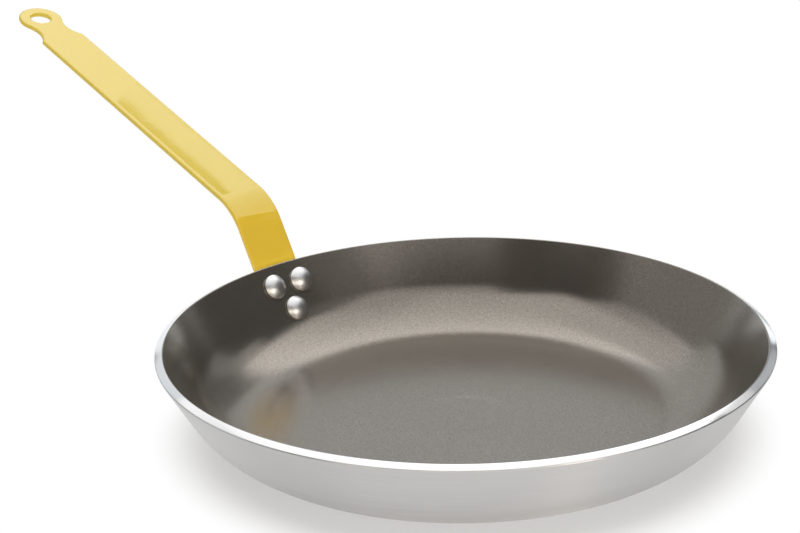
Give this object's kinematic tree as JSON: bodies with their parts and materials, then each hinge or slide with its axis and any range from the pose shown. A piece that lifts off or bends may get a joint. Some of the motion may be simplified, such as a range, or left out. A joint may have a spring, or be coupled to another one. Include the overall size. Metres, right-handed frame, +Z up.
{
  "type": "omelette pan",
  "caption": "Shallow round aluminium frying pan with flared sides, a dark non-stick inside and a long riveted flat steel handle with a hanging eye.",
  "frame": {"origin": "centre of the flat underside of the base", "axes": "+Z up out of the pan, +X from the pan's middle along the handle, mirror-symmetric about the XZ plane"},
  "size_m": [0.576, 0.3194, 0.1629],
  "materials": {
    "bare_aluminium": "brushed round the wall, polished at the rim",
    "nonstick": "dark brown-grey non-stick coating, fine speckle, low sheen",
    "yellow_coating": "glossy yellow enamel on steel",
    "rivet_metal": "bright, slightly scuffed"
  },
  "bodies": {
    "root": {"pan_body": "bare_aluminium", "nonstick_coating": "nonstick", "handle": "yellow_coating", "rivet_upper_left": "rivet_metal", "rivet_upper_right": "rivet_metal", "rivet_lower": "rivet_metal"}
  },
  "joints": []
}
